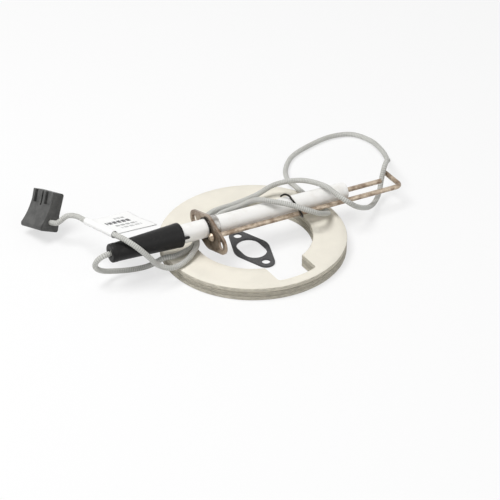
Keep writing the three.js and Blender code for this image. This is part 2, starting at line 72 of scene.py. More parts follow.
# The electrode's own axes: along the spark rod, level across it, and up
ROD_POINTS = node_points("spark_rod")
ROD_MIDDLE = ROD_POINTS.mean(axis=0)
ALONG = np.linalg.svd(ROD_POINTS - ROD_MIDDLE)[2][0]
ALONG *= math.copysign(1, ALONG[0])
ACROSS = np.cross([0.0, 0.0, 1.0], ALONG)
ACROSS /= np.linalg.norm(ACROSS)
UPWARD = np.cross(ALONG, ACROSS)
FLANGE_FACE = ((node_points("mounting_flange") - ROD_MIDDLE) @ ALONG).max()
ORIGIN = ROD_MIDDLE + FLANGE_FACE * ALONG


def local(node):
    """A CAD node's vertices on the electrode's axes, from the flange's front face."""
    return (node_points(node) - ORIGIN) @ np.array([ALONG, ACROSS, UPWARD]).T


def span(node):
    """Where a node starts and ends along the electrode, and its greatest radius."""
    points = local(node)
    return points[:, 0].min(), points[:, 0].max(), np.hypot(points[:, 1], points[:, 2]).max()


ELECTRODE = Matrix((
    (ALONG[0], ACROSS[0], UPWARD[0], ORIGIN[0]),
    (ALONG[1], ACROSS[1], UPWARD[1], ORIGIN[1]),
    (ALONG[2], ACROSS[2], UPWARD[2], ORIGIN[2]),
    (0, 0, 0, 1),
))


# ------------------------------------------------------------------ camera
CAMERA_DISTANCE = 900
CAMERA_ELEVATION = math.radians(34)
LENS = 110.5

camera_data = bpy.data.cameras.new("camera")
camera_data.lens = LENS
camera_data.sensor_width = 36
camera_data.shift_x = -0.006
camera_data.shift_y = -0.009
camera_data.clip_end = 20
camera = bpy.data.objects.new("camera", camera_data)
bpy.context.collection.objects.link(camera)
back_off = Vector((0, -math.cos(CAMERA_ELEVATION), math.sin(CAMERA_ELEVATION)))
camera.location = (Vector(RING_CENTRE) + back_off * CAMERA_DISTANCE) * MM
camera.rotation_euler = (math.pi / 2 - CAMERA_ELEVATION, 0, 0)
bpy.context.scene.camera = camera

bpy.context.scene.view_settings.view_transform = "Standard"


# ------------------------------------------------------------------ finishes, written as expressions
class Signal:
    """One socket of a finish; arithmetic on it adds the Math nodes."""

    def __init__(self, recipe, socket):
        self.recipe = recipe
        self.socket = socket

    def maths(self, operation, *values, clamp=False):
        sockets = dict(enumerate(values))
        return self.recipe.node("ShaderNodeMath", {"operation": operation, "use_clamp": clamp}, sockets)

    def __add__(self, other):
        return self.maths("ADD", self, other)

    def __sub__(self, other):
        return self.maths("SUBTRACT", self, other)

    def __rsub__(self, other):
        return self.maths("SUBTRACT", other, self)

    def __mul__(self, other):
        return self.maths("MULTIPLY", self, other)

    def __truediv__(self, other):
        return self.maths("DIVIDE", self, other)

    def twin(self, name):
        """Another output of the same node."""
        return Signal(self.recipe, self.socket.node.outputs[name])

    def clamped(self):
        return self.maths("ADD", self, 0.0, clamp=True)

    def fract(self):
        return self.maths("FRACT", self)

    def sine(self):
        return self.maths("SINE", self)

    def step(self, low, high):
        """0 below low, 1 above high, smooth between."""
        return self.recipe.node("ShaderNodeMapRange", {"interpolation_type": "SMOOTHSTEP"},
                                {"Value": self, "From Min": low, "From Max": high})


class Recipe:
    """The nodes of one finish, or of the world."""

    def __init__(self, name, library="materials", shader="Principled BSDF"):
        self.owner = getattr(bpy.data, library).new(name)
        self.owner.use_nodes = True
        self.tree = self.owner.node_tree
        self.shader = self.tree.nodes[shader]

    def node(self, kind, settings=None, sockets=None, out=0):
        made = self.tree.nodes.new(kind)
        for key, value in (settings or {}).items():
            setattr(made, key, value)
        for key, value in (sockets or {}).items():
            self.feed(made.inputs[key], value)
        return Signal(self, made.outputs[out])

    def feed(self, socket, value):
        if isinstance(value, Signal):
            self.tree.links.new(value.socket, socket)
        elif isinstance(value, tuple) and len(value) == 3 and socket.type == "RGBA":
            socket.default_value = (*value, 1)
        else:
            socket.default_value = value

    def fixed(self, **values):
        """Plain values on the shader's own sockets."""
        for key, value in values.items():
            self.feed(self.shader.inputs[key.replace("_", " ")], value)

    def place(self, stretch=(1, 1, 1)):
        """Where a point lies on the object, in millimetres, stretched along each axis."""
        here = self.node("ShaderNodeTexCoord", out="Object")
        return self.node("ShaderNodeVectorMath", {"operation": "MULTIPLY"},
                         {0: here, 1: tuple(s / MM for s in stretch)})

    def noise(self, scale, detail, roughness=0.5, where=None):
        """Soft mottling with patches about 1 / scale mm across, from 0 to 1."""
        return self.node("ShaderNodeTexNoise", {}, {
            "Vector": where or self.place(), "Scale": scale, "Detail": detail, "Roughness": roughness})

    def specks(self, scale):
        """Distance to the nearest of points scattered about 1 / scale mm apart."""
        return self.node("ShaderNodeTexVoronoi", {"feature": "F1"},
                         {"Vector": self.place(), "Scale": scale})

    def strip_xy(self):
        """The two surface coordinates: turns round and distance along a swept piece."""
        here = self.node("ShaderNodeTexCoord", out="UV")
        split = self.node("ShaderNodeSeparateXYZ", {}, {0: here})
        return split, split.twin("Y")

    def blend(self, mask, low, high):
        """From one colour to the other as the mask goes from 0 to 1."""
        return self.node("ShaderNodeMix", {"data_type": "RGBA"}, {0: mask, 6: low, 7: high}, out=2)

    def bump(self, height, depth):
        """Relief of that depth in millimetres."""
        normal = self.node("ShaderNodeBump", {},
                           {"Height": height, "Distance": depth * MM, "Strength": 1.0})
        self.feed(self.shader.inputs["Normal"], normal)

    def surface(self, colour, roughness):
        self.feed(self.shader.inputs["Base Color"], colour)
        self.feed(self.shader.inputs["Roughness"], roughness)

    def emission(self, kind):
        """A plain white glow."""
        return self.node(kind, {}, {"Color": (1, 1, 1), "Strength": 1.0})

    def finish(self, output, mask, other):
        """Ends the tree in its own shader, or in the other one where the mask is 1."""
        mixed = self.node("ShaderNodeMixShader", {}, {
            0: mask, 1: Signal(self, self.shader.outputs[0]), 2: other})
        self.feed(self.tree.nodes[output].inputs["Surface"], mixed)


def tone(red, green, blue):
    """A colour as it looks on a screen, 0 to 255, for the shader."""
    shares = (red / 255, green / 255, blue / 255)
    return tuple(c / 12.92 if c <= 0.04045 else ((c + 0.055) / 1.055) ** 2.4 for c in shares)


BRAID_STRANDS = 12
BRAID_PITCH = 0.42  # turns of a strand per millimetre of lead


def lead_braid_finish():
    """Glass-fibre braid over silicone: strands on two spirals, with painted shade in the gaps between
    them.
    """
    make = Recipe("lead_braid")
    turns, along = make.strip_xy()
    left = (turns * BRAID_STRANDS + along * BRAID_PITCH) * TAU
    right = (turns * BRAID_STRANDS - along * BRAID_PITCH) * TAU
    weave = (left.sine() * right.sine()).step(-0.9, 0.9)
    # painted shade: the gaps between the strands are coloured dark
    painted_gap_shade = weave.step(0.0, 0.4)
    soil = make.noise(0.12, 3).step(0.35, 0.75)
    thread = make.noise(5, 2)
    sleeve = make.blend(painted_gap_shade, (0.27, 0.27, 0.25), (0.68, 0.68, 0.645))
    sleeve = make.blend(soil * 0.35, sleeve, (0.36, 0.35, 0.32))
    make.surface(colour=make.blend(thread * 0.3, sleeve, (0.66, 0.66, 0.62)), roughness=0.78)
    make.bump(weave + thread * 0.2, 0.12)
    return make.owner


# ------------------------------------------------------------------ mesh work
def add_mesh(name, vertices, faces, material, body, matrix=None, uv=None):
    """A piece from vertices in millimetres, smooth shaded, riding on a body."""
    mesh = bpy.data.meshes.new(name)
    mesh.from_pydata([tuple(v) for v in vertices], [], faces)
    mesh.transform(Matrix.Scale(MM, 4) @ (matrix or Matrix.Identity(4)))
    if uv is not None:
        layer = mesh.uv_layers.new(name="UVMap")
        layer.data.foreach_set("uv", np.asarray(uv, dtype=float).ravel())
    mesh.validate()
    mesh.update()
    mesh.polygons.foreach_set("use_smooth", [True] * len(mesh.polygons))
    mesh.materials.append(material)
    piece = bpy.data.objects.new(name, mesh)
    bpy.context.collection.objects.link(piece)
    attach(piece, body)
    return piece


def smooth_path(points, spacing):
    """A centripetal Catmull-Rom curve through the points, at even steps."""
    points = [np.array(p, dtype=float) for p in points]
    padded = [2 * points[0] - points[1], *points, 2 * points[-1] - points[-2]]
    fine = []
    for p0, p1, p2, p3 in zip(padded, padded[1:], padded[2:], padded[3:]):
        t1 = np.linalg.norm(p1 - p0) ** 0.5
        t2 = t1 + np.linalg.norm(p2 - p1) ** 0.5
        t3 = t2 + np.linalg.norm(p3 - p2) ** 0.5
        for t in np.linspace(t1, t2, 40, endpoint=False):
            a1 = p0 + (p1 - p0) * (t / t1)
            a2 = p1 + (p2 - p1) * ((t - t1) / (t2 - t1))
            a3 = p2 + (p3 - p2) * ((t - t2) / (t3 - t2))
            b1 = a1 + (a2 - a1) * (t / t2)
            b2 = a2 + (a3 - a2) * ((t - t1) / (t3 - t1))
            fine.append(b1 + (b2 - b1) * ((t - t1) / (t2 - t1)))
    fine.append(points[-1])
    fine = np.array(fine)
    reach = np.concatenate([[0], np.cumsum(np.linalg.norm(np.diff(fine, axis=0), axis=1))])
    steps = np.linspace(0, reach[-1], max(2, int(round(reach[-1] / spacing)) + 1))
    return np.column_stack([np.interp(steps, reach, fine[:, i]) for i in range(3)]), reach[-1]


def carried_frames(path):
    """Two side directions at each point of a path, carried along it without twist."""
    heading = np.gradient(path, axis=0)
    heading /= np.linalg.norm(heading, axis=1)[:, None]
    side = np.cross(heading[0], [0.0, 0.0, 1.0])
    if np.linalg.norm(side) < 1e-6:
        side = np.array([1.0, 0.0, 0.0])
    sides = []
    for direction in heading:
        side = side - direction * (side @ direction)
        side /= np.linalg.norm(side)
        sides.append(side)
    sides = np.array(sides)
    return sides, np.cross(heading, sides)


def grid_faces(rows, columns, closed=True):
    """Quads of a grid of rows by columns that is closed round its columns."""
    faces = []
    for r in range(rows - 1):
        for c in range(columns if closed else columns - 1):
            d = (c + 1) % columns
            here, above = r * columns, (r + 1) * columns
            faces.append((here + c, here + d, above + d, above + c))
    return faces


def grid_uv(rows, columns, heights):
    """Turns round and distance along, for the quads of grid_faces."""
    uv = []
    for r in range(rows - 1):
        for c in range(columns):
            low, high = heights[r], heights[r + 1]
            left, right = c / columns, (c + 1) / columns
            uv += [(left, low), (right, low), (right, high), (left, high)]
    return uv


def swept(name, path, radius, sides, material, body, matrix=None):
    """A round bar along a path; radius is a number or a function of (distance, turn)."""
    side, up = carried_frames(path)
    reach = np.concatenate([[0], np.cumsum(np.linalg.norm(np.diff(path, axis=0), axis=1))])
    turns = np.arange(sides) * TAU / sides
    size = radius if callable(radius) else (lambda s, turn: radius)
    rows = []
    for i, point in enumerate(path):
        radii = np.array([size(reach[i], turn) for turn in turns])[:, None]
        rows.append(point + radii * (np.cos(turns)[:, None] * side[i] + np.sin(turns)[:, None] * up[i]))
    vertices = [v for row in rows for v in row]
    faces = grid_faces(len(path), sides)
    uv = grid_uv(len(path), sides, reach)
    faces.append(tuple(range(sides))[::-1])
    faces.append(tuple(range(len(vertices) - sides, len(vertices))))
    uv += [(0.0, 0.0)] * sides + [(0.0, reach[-1])] * sides
    piece = add_mesh(name, vertices, faces, material, body, matrix, uv=uv)
    for polygon in list(piece.data.polygons)[-2:]:
        polygon.use_smooth = False
    return piece


def softened(profile, closed=True):
    """A profile of (along, radius, corner) with each corner rounded by its own radius."""
    points = []
    count = len(profile)
    for i, (x, r, corner) in enumerate(profile):
        here = np.array([x, r])
        before = np.array(profile[(i - 1) % count][:2])
        after = np.array(profile[(i + 1) % count][:2])
        ends = not closed and i in (0, count - 1)
        if corner <= 0 or ends:
            points.append(here)
            continue
        into = before - here
        out = after - here
        cut = min(corner, np.linalg.norm(into) / 2.1, np.linalg.norm(out) / 2.1)
        start = here + into / np.linalg.norm(into) * cut
        end = here + out / np.linalg.norm(out) * cut
        for share in np.linspace(0, 1, 6):
            points.append((1 - share) ** 2 * start + 2 * share * (1 - share) * here + share ** 2 * end)
    return points


def turned(name, profile, material, body, sides, shape=None, closed=True):
    """A body turned about the electrode's axis; shape may move each point of the surface."""
    outline = softened(profile, closed)
    turns = np.arange(sides) * TAU / sides
    vertices = []
    for x, r in outline:
        for turn in turns:
            point = np.array([x, r * math.cos(turn), r * math.sin(turn)])
            vertices.append(shape(point, turn) if shape else point)
    rows = len(outline)
    reach = [0.0]
    for a, b in zip(outline, outline[1:]):
        reach.append(reach[-1] + float(np.linalg.norm(np.array(b) - np.array(a))))
    faces = grid_faces(rows, sides)
    uv = grid_uv(rows, sides, reach)
    if closed:
        last = (rows - 1) * sides
        for c in range(sides):
            d = (c + 1) % sides
            faces.append((last + c, last + d, d, c))
            uv += [(0.0, 0.0)] * 4
    else:
        faces.append(tuple(range(sides))[::-1])
        faces.append(tuple(range(rows * sides - sides, rows * sides)))
        uv += [(0.0, 0.0)] * (2 * sides)
    piece = add_mesh(name, vertices, faces, material, body, ELECTRODE, uv=uv)
    mark_sharp(piece, 40)
    return piece


def mark_sharp(piece, degrees):
    """Keeps edges sharper than this crisp under smooth shading."""
    piece.data.set_sharp_from_angle(angle=math.radians(degrees))


# ------------------------------------------------------------------ the lead
LEAD_DIAMETER = 3.2
LEAD_STEP = 0.45
BRAID_RELIEF = 0.03
# the lead's centre line, from the boot to the plug, measured from the middle of the ring
LEAD_ROUTE = [
    (-79.7, -41.7, 22.6), (-83.2, -43.6, 22.1), (-86.5, -44.3, 19.6), (-88, -43.4, 15.8),
    (-87.3, -41.2, 12), (-84.6, -38, 8.4), (-80.4, -33.8, 5.3), (-69.5, -27.6, 2),
    (-60, -26.6, 3.8), (-50, -27.9, 10.4), (-44.3, -26, 10.3), (-34.6, -15.4, 9.9),
    (-33.2, -9.8, 10), (-32.3, -3, 8.9), (-30.5, 3.5, 7.8), (-27.2, 10, 8.6), (-18.4, 18.2, 11),
    (-7.7, 15.4, 17.6), (0.9, 10.3, 25), (4.9, 7.2, 27.1), (9.9, 5.4, 27.4), (21.5, 3.6, 26),
    (33.1, 2.4, 22.6), (38.2, 5, 19.3), (42.4, 11.6, 14.8), (44.6, 18.4, 11), (42.8, 23.4, 10),
    (33.4, 37.4, 9.9), (25.6, 50, 9.9), (21.3, 67, 4.6), (20.6, 83.5, 2), (24.9, 98.7, 1.85),
    (36.9, 113.4, 1.85), (51.6, 124.9, 1.85), (64.6, 127.4, 1.85), (75.6, 119.4, 2.2),
    (82, 101, 5.6), (83.9, 77.5, 12.2), (83.2, 69.6, 16.6), (82, 63.8, 19.3), (80.4, 58.9, 18.7),
    (79.2, 56, 15), (78.3, 54.2, 10.2), (77.4, 51.2, 6.2), (75.8, 46, 4.4), (70.2, 31.4, 7),
    (61, 17.2, 16.2), (55.7, 14.3, 21.2), (49.3, 17.4, 24.4), (42.6, 25.3, 25.2),
    (28.2, 37.8, 21.6), (13.3, 42.1, 16), (1.2, 36.4, 11.6), (-11.6, 29.8, 9.7),
    (-24.2, 21.3, 9.7), (-33.6, 5.4, 9.8), (-35.4, -1.6, 10.6), (-34.6, -7.8, 13),
    (-32.6, -13.4, 13.7), (-32.2, -18.8, 12.6), (-37.4, -29.8, 10.3), (-45.6, -38.3, 10.6),
    (-53.2, -41.8, 15.2), (-57.4, -43.4, 21), (-63.4, -43.4, 27.3), (-70.6, -40.4, 31),
    (-76, -35.6, 30.7), (-86, -22.5, 27.1), (-96, -9.4, 23.5), (-102.8, -0.6, 21),
    (-107.9, 2.2, 19.2), (-114, 2.3, 14.3), (-118, 5.9, 12.2),
]
route = [Vector(p) + Vector(RING_CENTRE) for p in LEAD_ROUTE]
lead_path, lead_length = smooth_path(route, LEAD_STEP)


def braid_relief(reach, turn):
    """Radius of the sleeve: crowned strands crossing over and under each other."""
    round_it, along_it = BRAID_STRANDS * turn, BRAID_PITCH * TAU * reach
    over = math.sin(round_it + along_it) * math.sin(round_it - along_it)
    return LEAD_DIAMETER / 2 - BRAID_RELIEF + BRAID_RELIEF * over


lead = swept("lead", lead_path, braid_relief, 36, lead_braid_finish(), "electrode")
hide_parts("ignition_lead")


# ------------------------------------------------------------------ the other finishes
def shaded(colour, share):
    """The colour made lighter or darker by that share."""
    return tuple(share * c for c in colour)


def fibre_finish(name, top, side):
    """Pressed fibre board: felted and flecked on its face; its cut walls are layered and painted darker
    than the top as painted shade.
    """
    make = Recipe(name)
    facing = make.node("ShaderNodeTexCoord", out="Normal")
    upward = make.node("ShaderNodeSeparateXYZ", {}, {0: facing}, out="Z").step(0.55, 0.9)
    layers = make.noise(0.9, 3, 0.6, make.place((0.35, 0.35, 3.2)))
    felt = make.noise(1.6, 5, 0.65)
    cloud = make.noise(0.07, 3)
    fleck = make.specks(0.8).step(0.10, 0.02)
    # cut walls: the board's layers over a side tone that is darkened as painted shade
    cut = make.blend(layers.step(0.35, 0.68), side, shaded(side, 1.55))
    face = make.blend(cloud.step(0.35, 0.7) * 0.5, top, shaded(top, 0.90))
    face = make.blend(felt.step(0.5, 0.8) * 0.25, face, shaded(top, 0.80))
    face = make.blend(fleck * 0.35, face, tone(176, 164, 140))
    # faces that look up take the top colour, the rest take the darker side colour: painted shade on the
    # walls
    make.surface(colour=make.blend(upward, cut, face), roughness=felt * 0.1 + 0.86)
    make.bump(felt + layers * (1 - upward) * 1.4, 0.16)
    return make.owner


def ceramic_finish():
    """Fired alumina: smooth and white, finely flecked, a little soiled toward the flame."""
    make = Recipe("alumina")
    fleck = make.specks(1.1).step(0.09, 0.03)
    soil = make.noise(0.11, 4, 0.6).step(0.5, 0.8)
    grain = make.noise(6, 2)
    white = make.blend(soil * 0.35, tone(246, 245, 242), tone(214, 206, 194))
    make.surface(colour=make.blend(fleck * 0.4, white, tone(188, 176, 160)),
                 roughness=grain * 0.12 + 0.24)
    make.fixed(Coat_Weight=0.25, Coat_Roughness=0.18)
    make.bump(grain, 0.012)
    return make.owner


def metal_finish(name, light, dark, scale, rough):
    """Heat-tinted metal: two tones of oxide in patches, finely scratched."""
    make = Recipe(name)
    patches = make.noise(scale, 4, 0.62)
    scratch = make.noise(4.5, 3, 0.6)
    tint = make.blend(patches.step(0.34, 0.68), dark, light)
    make.surface(colour=make.blend(scratch.step(0.55, 0.8) * 0.3, tint, shaded(light, 1.25)),
                 roughness=patches * -0.22 + scratch * 0.14 + rough + 0.1)
    make.fixed(Metallic=0.85)
    make.bump(scratch + patches * 0.4, 0.03)
    return make.owner


def rubber_finish():
    """Moulded silicone rubber: near black and half matt, with pale dust."""
    make = Recipe("boot_rubber")
    dust = make.noise(0.35, 4, 0.65, make.place((1, 1, 1.4))).step(0.5, 0.85)
    skin = make.noise(3.2, 3)
    make.surface(colour=make.blend(dust * 0.55, tone(9, 8, 8), tone(52, 48, 45)),
                 roughness=skin * 0.16 + dust * 0.14 + 0.36)
    make.fixed(Specular_IOR_Level=0.28)
    make.bump(skin, 0.05)
    return make.owner


def plastic_finish():
    """Moulded nylon with a fine matt grain."""
    make = Recipe("plug_nylon")
    grain = make.noise(3.6, 3, 0.6)
    cloud = make.noise(0.25, 3).step(0.35, 0.7)
    make.surface(colour=make.blend(cloud * 0.6, tone(66, 66, 65), tone(92, 92, 90)),
                 roughness=grain * 0.2 + 0.38)
    make.bump(grain, 0.05)
    return make.owner


def gasket_finish(name, base, pale):
    """Graphite board: dark, pressed from flakes."""
    make = Recipe(name)
    flake = make.specks(1.3)
    grain = make.noise(2.4, 4, 0.7)
    shade = make.blend(grain.step(0.4, 0.72), base, pale)
    make.surface(colour=make.blend(flake.step(0.16, 0.05) * 0.6, shade, tone(150, 150, 150)),
                 roughness=grain * 0.25 + 0.55)
    make.bump(grain + flake * 0.5, 0.08)
    return make.owner


# rows of dashes: place along the lead, start and end out from it, half height, and strength of the ink
PRINT_ROWS = [(6.9, 14, 21, 1.1, 0.55), (12.4, 5.5, 21, 1.9, 1.0),
              (18.4, 8, 22, 1.2, 0.6), (22.8, 9.5, 22.5, 1.2, 0.45)]
DASH_PITCH = 2.2


def label_finish():
    """White paper with rows of plain dashes in place of print."""
    make = Recipe("label_paper")
    out_from_lead, along = make.strip_xy()
    worn = make.noise(0.8, 3, 0.6)
    ink = None
    for row, start, end, half_height, strength in PRINT_ROWS:
        inside = (along.step(row - half_height - 0.2, row - half_height)
                  * along.step(row + half_height + 0.2, row + half_height)
                  * out_from_lead.step(start - 0.3, start) * out_from_lead.step(end + 0.3, end))
        dashes = (out_from_lead / (DASH_PITCH + row * 0.06) + row * 0.31).fract().step(0.16, 0.24)
        bar = inside * dashes * worn.step(0.2, 0.5) * strength
        ink = bar if ink is None else ink + bar
    fibre = make.noise(1.2, 4)
    paper = make.blend(fibre * 0.2, tone(250, 250, 249), tone(232, 232, 229))
    make.surface(colour=make.blend(ink.clamped(), paper, tone(70, 70, 72)),
                 roughness=fibre * 0.1 + 0.55)
    make.bump(fibre, 0.02)
    return make.owner


def cement_finish():
    """Gritty, pale fire cement."""
    make = Recipe("refractory_cement")
    grit = make.noise(3, 5, 0.7)
    make.surface(colour=make.blend(grit.step(0.3, 0.7), tone(176, 166, 150), tone(222, 215, 203)),
                 roughness=grit * 0.1 + 0.85)
    make.bump(grit, 0.15)
    return make.owner


CREAM = tone(240, 235, 222)
# the second colour of each ply is its cut wall, darkened as painted shade
upper_fibre = fibre_finish("fibre_upper_ply", CREAM, tone(184, 179, 165))
middle_fibre = fibre_finish("fibre_middle_ply", CREAM, tone(156, 151, 138))
lower_fibre = fibre_finish("fibre_lower_ply", CREAM, tone(170, 165, 152))
alumina = ceramic_finish()
cement = cement_finish()
rod_steel = metal_finish("oxidised_rod", tone(202, 187, 168), tone(140, 122, 105), 0.22, rough=0.30)
flange_steel = metal_finish("heat_tinted_plate", tone(172, 158, 144), tone(116, 98, 82), 0.16,
                            rough=0.30)
# painted highlight: a lighter, glossier copy of the plate's tint for its bevelled edges
plate_edge_highlight = metal_finish("painted_plate_edge_highlight", tone(214, 203, 188), tone(168, 152, 134), 0.5, rough=0.22)
collar_steel = metal_finish("bright_collar", tone(206, 204, 200), tone(140, 136, 130), 0.4, rough=0.2)
dark_wire = metal_finish("blackened_spring", tone(62, 58, 54), tone(26, 24, 22), 0.8, rough=0.28)
brass = metal_finish("terminal_brass", tone(206, 176, 112), tone(160, 128, 76), 0.5, rough=0.22)
boot_rubber = rubber_finish()
nylon = plastic_finish()
graphite = gasket_finish("graphite_board", tone(66, 66, 67), tone(92, 92, 93))
# painted highlight: a lighter copy of the graphite for the gasket's bevelled edges
graphite_edge_highlight = gasket_finish("graphite_edge_highlight", tone(96, 96, 97), tone(140, 140, 140))

BODY_OF = {node: body for body, nodes in frame["record"]["behaviour"]["bodies"].items()
           for node in nodes}


def stands_for(piece, node):
    """The piece takes the place of that CAD node."""
    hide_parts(node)
    return piece


# ------------------------------------------------------------------ fibre ring
NOTCH_BEARING = math.radians(-58)
BORE_RADIUS, NOTCH_REACH, NOTCH_HALF = 35.0, 48.5, 12.5
NOTCH_BLEND = 1.1  # how softly the corners round
NOTCH_FAR = 8  # past this the corner has no effect
PLY_EASE = 0.35
WANDER = 0.1  # slow drift of a cut edge
TEAR = 0.05  # fine unevenness of a cut wall


def bore_edge(turn):
    """Radius of the bore at that bearing: round, with a parallel-sided notch."""
    off = abs((turn - NOTCH_BEARING + math.pi) % TAU - math.pi)
    side = NOTCH_HALF / max(math.sin(off), 1e-6) if off < math.pi / 2 else 0.0
    if side <= BORE_RADIUS:
        return BORE_RADIUS
    if side > NOTCH_REACH + NOTCH_FAR:
        return NOTCH_REACH
    # the notch's two inner corners, rounded by a soft minimum
    pull = math.exp(-side / NOTCH_BLEND) + math.exp(-NOTCH_REACH / NOTCH_BLEND)
    return max(BORE_RADIUS, -NOTCH_BLEND * math.log(pull))


def ply(node, material, seed):
    """One ply: soft cut edges that wander a little, with a felted wall."""
    low, high = corners(node)
    turns = list(np.linspace(0, TAU, 540, endpoint=False))
    for hand in (-1, 1):  # more steps beside the notch
        turns += [(NOTCH_BEARING + hand * math.radians(d)) % TAU for d in np.arange(11, 21.6, 0.2)]
    turns = sorted(set(round(t, 6) for t in turns))
    levels = np.linspace(low[2] + PLY_EASE, high[2] - PLY_EASE, 4)
    across = 5

    def drift(turn, reach, height):
        return noise.noise(Vector((reach * math.cos(turn), reach * math.sin(turn), height + seed)))

    vertices, faces = [], []
    for turn in turns:
        aim = np.array([math.cos(turn), math.sin(turn), 0])
        wander = drift(turn, 4, 0)
        outer = RING_RADIUS - 0.12 + WANDER * wander
        inner = bore_edge(turn) + WANDER * wander + 0.05
        start, end = inner + PLY_EASE, outer - PLY_EASE
        loop = [(start, low[2])]
        loop += [(r, low[2]) for r in np.linspace(start, end, across)[1:]]
        loop += [(outer + TEAR * drift(turn, 30, z * 2), z) for z in levels]
        loop += [(r, high[2]) for r in np.linspace(end, start, across)]
        loop += [(inner - TEAR * drift(turn, 24, z * 2), z) for z in levels[::-1]]
        vertices += [RING_CENTRE + aim * r + np.array([0, 0, z]) for r, z in loop]
    count = len(loop)
    total = len(turns)
    for i in range(total):
        j = (i + 1) % total
        for k in range(count):
            m = (k + 1) % count
            faces.append((i * count + k, j * count + k, j * count + m, i * count + m))
    piece = add_mesh(node + "_board", vertices, faces, material, "burner_ring")
    mark_sharp(piece, 60)
    return stands_for(piece, node)


ply("ring_lower_ply", lower_fibre, 3.1)
ply("ring_middle_ply", middle_fibre, 11.7)
ply("ring_upper_ply", upper_fibre, 23.9)


# ------------------------------------------------------------------ pieces with eased edges
def eased(node, width, material, edge=None, sharp=32):
    """The node's own shape with its sharp edges broken, in the edge finish if there is one: a lighter
    copy that paints a highlight on the bevels.
    """
    shape = bmesh.new()
    shape.from_mesh(frame["nodes"][node].data)
    bmesh.ops.remove_doubles(shape, verts=shape.verts, dist=2e-6)
    bmesh.ops.dissolve_limit(shape, angle_limit=math.radians(0.8), verts=shape.verts, edges=shape.edges)
    edges = [e for e in shape.edges
             if len(e.link_faces) == 2 and e.calc_face_angle(0) > math.radians(sharp)]
    bmesh.ops.bevel(shape, geom=edges, offset=width * MM, segments=2, profile=0.6, affect="EDGES",
                    clamp_overlap=True, material=1 if edge else -1)
    bmesh.ops.triangulate(shape, faces=[f for f in shape.faces if len(f.verts) > 4])
    mesh = bpy.data.meshes.new(node + "_eased")
    shape.to_mesh(mesh)
    shape.free()
    mesh.materials.clear()
    mesh.materials.append(material)
    if edge:
        mesh.materials.append(edge)
    mesh.polygons.foreach_set("use_smooth", [True] * len(mesh.polygons))
    mesh.set_sharp_from_angle(angle=math.radians(sharp))
    piece = bpy.data.objects.new(node + "_eased", mesh)
    bpy.context.collection.objects.link(piece)
    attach(piece, BODY_OF[node])
    return stands_for(piece, node)


eased("mounting_flange", 0.22, flange_steel, plate_edge_highlight)
eased("flange_collar", 0.08, collar_steel)
eased("flange_gasket", 0.15, graphite, graphite_edge_highlight)
eased("plug_housing", 0.28, nylon)


# ------------------------------------------------------------------ ceramic, rods and clip
def ceramic_piece():
    start, end, radius = span("ceramic_insulator")
    seat, bore, deep = 2.75, 1.75, 2.5
    profile = [
        (start, seat, 0.15), (start, radius, 0.6), (end, radius, 0.6), (end, seat, 0.15),
        (end - deep, seat, 0.1), (end - deep, bore, 0),
        (start + deep, bore, 0), (start + deep, seat, 0.1),
    ]
    stands_for(turned("ceramic_tube", profile, alumina, "electrode", sides=112), "ceramic_insulator")


ceramic_piece()


def bar_profile(start, end, radius, nose):
    return [(start, 0.0, 0), (start, radius, 0.2), (end, radius, nose), (end, 0.0, 0)]


ROD_RADIUS = 1.5
rod_start, rod_end = span("spark_rod")[:2]
stands_for(
    turned("spark_electrode", bar_profile(rod_start, rod_end, ROD_RADIUS, 0.6), rod_steel, "electrode",
           sides=48, closed=False),
    "spark_rod",
)


def ground_rod_piece():
    """Straight rod, elbow and cross-piece, its end face chamfered and its bend a little flattened."""
    points = local("ground_rod")
    start, corner = points[:, 0].min(), points[:, 0].max() - ROD_RADIUS
    low_y, end_y = points[:, 1].min(), points[:, 1].max()
    y, z = low_y + ROD_RADIUS, (points[:, 2].min() + points[:, 2].max()) / 2
    bend = 3.5
    path = [np.array([x, y, z]) for x in np.linspace(start, corner - bend, 90)]
    path += [np.array([corner - bend * (1 - math.sin(a)), y + bend * (1 - math.cos(a)), z])
             for a in np.linspace(0, math.pi / 2, 20)[1:]]
    path += [np.array([corner, v, z]) for v in np.linspace(y + bend, end_y, 24)[1:]]
    path = np.array(path)
    length = np.linalg.norm(np.diff(path, axis=0), axis=1).sum()
    # close steps at both ends, for the chamfers
    for share in (0.12, 0.3, 0.5):
        path = np.insert(path, -1, path[-1] - (path[-1] - path[-2]) * share, axis=0)

    def size(reach, _):
        left = length - reach
        flattened = 0.04 * math.exp(-((reach - (corner - bend - start) - 2.7) / 2.4) ** 2)
        return ROD_RADIUS - flattened - max(0.0, 0.35 - left) - max(0.0, 0.2 - reach)

    piece = swept("ground_electrode", path, size, 48, rod_steel, "electrode", ELECTRODE)
    stands_for(piece, "ground_rod")


ground_rod_piece()


for node, material, width, sharp in (
    ("ground_rod_weld", rod_steel, 0.12, 40),
    ("front_cement", cement, 0.06, 32),
    ("rear_cement", cement, 0.06, 32),
    ("packing_ring", dark_wire, 0.06, 32),
    ("rod_clip", dark_wire, 0.1, 60),
    ("terminal_pin", brass, 0.06, 32),
    ("snap_terminal", brass, 0.06, 32),
    ("receptacle_left", brass, 0.06, 32),
    ("receptacle_right", brass, 0.06, 32),
    ("receptacle_link", brass, 0.06, 32),
):
    eased(node, width, material, sharp=sharp)


# ------------------------------------------------------------------ boot
BOOT_MOUTH, BOOT_TAIL, BOOT_BORE = 7.2, 5.5, 5.7  # radii
TERMINAL_BORE, LEAD_BORE = 3.5, 2.2
TAB_REACH, TAB_RADIUS = 3.0, 0.85  # the small pull tab past the boot's mouth
TAB_TURN = math.radians(-12)
TAB_OFF = -(5.5 + 0.3 + TAB_RADIUS)


